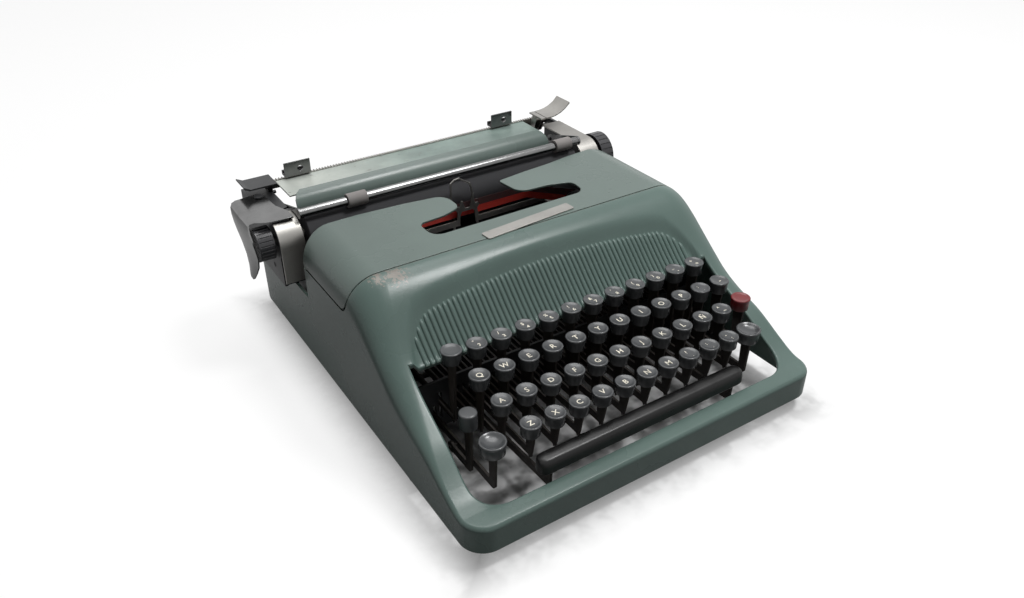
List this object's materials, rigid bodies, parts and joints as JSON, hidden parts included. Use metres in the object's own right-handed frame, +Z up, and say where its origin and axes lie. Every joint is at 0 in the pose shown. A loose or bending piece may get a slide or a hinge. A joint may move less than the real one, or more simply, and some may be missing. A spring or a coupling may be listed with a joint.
{
  "type": "typewriter",
  "caption": "Portable manual typewriter: cast body with ribbed front, lift-off cover, keyboard, type basket and sliding carriage with platen.",
  "frame": {"origin": "on the surface it stands on, under the middle of the whole machine, carriage included", "axes": "+Z up, -Y towards the typist, +X towards the right of the keyboard"},
  "size_m": [0.33, 0.36, 0.14],
  "materials": {
    "body_paint": "satin stove enamel, worn at the edges",
    "cover_paint": "satin stove enamel",
    "plate": "bare badge plate, satin",
    "frame_black": "black enamelled steel",
    "foot_rubber": "moulded rubber",
    "ground_steel": "ground steel",
    "type_steel": "hardened type steel",
    "ribbon_cloth": "inked red and black ribbon",
    "spool_black": "black enamel",
    "key_plastic": "satin black moulded plastic",
    "key_red": "dark red moulded plastic",
    "lever_black": "blackened steel strip",
    "platen_rubber": "black platen rubber",
    "knob_plastic": "black moulded plastic",
    "end_steel": "brushed, aged",
    "bail_chrome": "polished",
    "roller_rubber": "grey brown rubber",
    "table_paint": "satin stove enamel",
    "rear_paint": "pale grey green enamel with rust spots"
  },
  "bodies": {
    "body": {"main_shell": "body_paint", "top_cover": "cover_paint", "badge_plate": "plate", "chassis": "frame_black", "feet": "foot_rubber", "carriage_rails": "ground_steel", "type_guide": "ground_steel", "ribbon_plates": "frame_black", "ribbon": "ribbon_cloth", "key_comb": "frame_black", "fulcrum_rod": "ground_steel"},
    "basket": {"type_segment": "type_steel", "type_bars": "type_steel"},
    "type_bar_y": {"type_bar_y": "type_steel"},
    "spool_left": {"ribbon_spool_left": "spool_black"},
    "spool_right": {"ribbon_spool_right": "spool_black"},
    "vibrator": {"ribbon_vibrator": "ground_steel"},
    "bank_1": {"key_caps_bank_1": "key_plastic", "key_levers_bank_1": "lever_black"},
    "bank_2": {"key_caps_bank_2": "key_plastic", "key_levers_bank_2": "lever_black"},
    "bank_3": {"key_caps_bank_3": "key_plastic", "key_levers_bank_3": "lever_black"},
    "bank_4": {"key_caps_bank_4": "key_plastic", "key_levers_bank_4": "lever_black"},
    "key_y": {"key_cap_y": "key_plastic", "key_lever_y": "lever_black"},
    "backspace": {"backspace_cap": "key_plastic", "backspace_lever": "lever_black"},
    "tab_key": {"tab_cap": "key_red", "tab_lever": "lever_black"},
    "shift": {"shift_key_left": "key_plastic", "shift_key_right": "key_plastic", "shift_frame": "lever_black"},
    "shift_lock": {"shift_lock_cap": "key_plastic", "shift_lock_lever": "lever_black"},
    "space": {"space_bar": "key_plastic", "space_bar_arms": "lever_black"},
    "carriage": {"carriage_bed": "frame_black", "end_plate_left": "frame_black", "end_plate_right": "frame_black", "end_cover_left": "end_steel", "end_cover_right": "end_steel", "paper_table": "table_paint", "rear_plate": "rear_paint", "margin_rack": "ground_steel"},
    "platen": {"platen_roller": "platen_rubber", "platen_shaft": "ground_steel", "platen_knob_left": "knob_plastic", "platen_knob_right": "knob_plastic"},
    "feed": {"feed_rollers": "platen_rubber"},
    "return_lever": {"return_lever": "bail_chrome"},
    "bail": {"paper_bail": "bail_chrome"},
    "bail_rollers": {"bail_rollers": "roller_rubber"},
    "margin_left": {"margin_stop_left": "frame_black"},
    "margin_right": {"margin_stop_right": "frame_black"},
    "paper_release": {"paper_release_lever": "end_steel"},
    "release_left": {"carriage_release_left": "frame_black"},
    "release_right": {"carriage_release_right": "end_steel"}
  },
  "joints": [
    {"name": "carriage_slide", "type": "slide", "parent": "body", "child": "carriage", "axis": [1, 0, 0], "range_m": [-0.1, 0.11]},
    {"name": "platen_spin", "type": "hinge", "parent": "carriage", "child": "platen", "pos_m": [0.002, 0.093, 0.104], "axis": [1, 0, 0], "continuous": true},
    {"name": "feed_spin", "type": "hinge", "parent": "carriage", "child": "feed", "pos_m": [0.002, 0.098, 0.08124], "axis": [1, 0, 0], "continuous": true},
    {"name": "return_lever_swing", "type": "hinge", "parent": "carriage", "child": "return_lever", "pos_m": [-0.141, 0.13, 0.104], "axis": [0, 0, -1], "range_deg": [0, 30]},
    {"name": "bail_swing", "type": "hinge", "parent": "carriage", "child": "bail", "pos_m": [0.002, 0.124, 0.113], "axis": [-1, 0, 0], "range_deg": [0, 35]},
    {"name": "bail_rollers_spin", "type": "hinge", "parent": "bail", "child": "bail_rollers", "pos_m": [0.002, 0.084, 0.12495], "axis": [1, 0, 0], "continuous": true},
    {"name": "margin_left_slide", "type": "slide", "parent": "carriage", "child": "margin_left", "axis": [1, 0, 0], "range_m": [-0.012, 0.07]},
    {"name": "margin_right_slide", "type": "slide", "parent": "carriage", "child": "margin_right", "axis": [1, 0, 0], "range_m": [-0.07, 0.03]},
    {"name": "paper_release_press", "type": "hinge", "parent": "carriage", "child": "paper_release", "pos_m": [0.002, 0.149, 0.116], "axis": [1, 0, 0], "range_deg": [0, 6], "stiffness_Nm_per_rad": 0.3, "springref_deg": -2.86},
    {"name": "release_left_press", "type": "hinge", "parent": "carriage", "child": "release_left", "pos_m": [0.002, 0.149, 0.116], "axis": [1, 0, 0], "range_deg": [0, 6], "stiffness_Nm_per_rad": 0.3, "springref_deg": -2.86},
    {"name": "release_right_press", "type": "hinge", "parent": "carriage", "child": "release_right", "pos_m": [0.002, 0.149, 0.116], "axis": [1, 0, 0], "range_deg": [0, 6], "stiffness_Nm_per_rad": 0.3, "springref_deg": -2.86},
    {"name": "bank_1_press", "type": "hinge", "parent": "body", "child": "bank_1", "pos_m": [0.01, 0.045, 0.036], "axis": [1, 0, 0], "range_deg": [0, 4.2], "stiffness_Nm_per_rad": 30, "springref_deg": -2.29},
    {"name": "bank_2_press", "type": "hinge", "parent": "body", "child": "bank_2", "pos_m": [0.01, 0.045, 0.036], "axis": [1, 0, 0], "range_deg": [0, 4.2], "stiffness_Nm_per_rad": 30, "springref_deg": -2.29},
    {"name": "bank_3_press", "type": "hinge", "parent": "body", "child": "bank_3", "pos_m": [0.01, 0.045, 0.036], "axis": [1, 0, 0], "range_deg": [0, 4.2], "stiffness_Nm_per_rad": 30, "springref_deg": -2.29},
    {"name": "bank_4_press", "type": "hinge", "parent": "body", "child": "bank_4", "pos_m": [0.01, 0.045, 0.036], "axis": [1, 0, 0], "range_deg": [0, 4.2], "stiffness_Nm_per_rad": 30, "springref_deg": -2.29},
    {"name": "key_y_press", "type": "hinge", "parent": "body", "child": "key_y", "pos_m": [0.01, 0.045, 0.036], "axis": [1, 0, 0], "range_deg": [0, 4.2], "stiffness_Nm_per_rad": 6, "springref_deg": -2.29},
    {"name": "backspace_press", "type": "hinge", "parent": "body", "child": "backspace", "pos_m": [0.01, 0.045, 0.036], "axis": [1, 0, 0], "range_deg": [0, 4.2], "stiffness_Nm_per_rad": 6, "springref_deg": -2.29},
    {"name": "tab_press", "type": "hinge", "parent": "body", "child": "tab_key", "pos_m": [0.01, 0.045, 0.036], "axis": [1, 0, 0], "range_deg": [0, 4.2], "stiffness_Nm_per_rad": 6, "springref_deg": -2.29},
    {"name": "shift_press", "type": "hinge", "parent": "body", "child": "shift", "pos_m": [0.01, 0.02, 0.024], "axis": [1, 0, 0], "range_deg": [0, 3.4], "stiffness_Nm_per_rad": 20, "springref_deg": -2.29},
    {"name": "shift_lock_press", "type": "hinge", "parent": "shift", "child": "shift_lock", "pos_m": [0.01, -0.098, 0.024], "axis": [1, 0, 0], "range_deg": [0, 6], "stiffness_Nm_per_rad": 6, "springref_deg": -2.29},
    {"name": "space_press", "type": "hinge", "parent": "body", "child": "space", "pos_m": [0.01, -0.01, 0.0153], "axis": [1, 0, 0], "range_deg": [0, 3.5], "stiffness_Nm_per_rad": 12, "springref_deg": -2.29},
    {"name": "basket_shift", "type": "slide", "parent": "body", "child": "basket", "axis": [0, -0.4226, -0.9063], "range_m": [0, 0.0045]},
    {"name": "type_bar_swing", "type": "hinge", "parent": "basket", "child": "type_bar_y", "pos_m": [0.01, 0.05601, 0.06608], "axis": [-1, 0, 0], "range_deg": [0, 126.87]},
    {"name": "vibrator_lift", "type": "slide", "parent": "body", "child": "vibrator", "axis": [0, 0, 1], "range_m": [0, 0.009]},
    {"name": "spool_left_spin", "type": "hinge", "parent": "body", "child": "spool_left", "pos_m": [-0.078, 0.019, 0.095], "axis": [0, 0, 1], "continuous": true},
    {"name": "spool_right_spin", "type": "hinge", "parent": "body", "child": "spool_right", "pos_m": [0.098, 0.019, 0.095], "axis": [0, 0, 1], "continuous": true}
  ],
  "couplings": [
    {"joint": "type_bar_swing", "follows": "key_y_press", "ratio": 30.207},
    {"joint": "vibrator_lift", "follows": "key_y_press", "m_per_rad": 0.12264},
    {"joint": "basket_shift", "follows": "shift_press", "m_per_rad": 0.07566},
    {"joint": "feed_spin", "follows": "platen_spin", "ratio": -2.8333},
    {"joint": "spool_right_spin", "follows": "spool_left_spin", "ratio": 1}
  ]
}
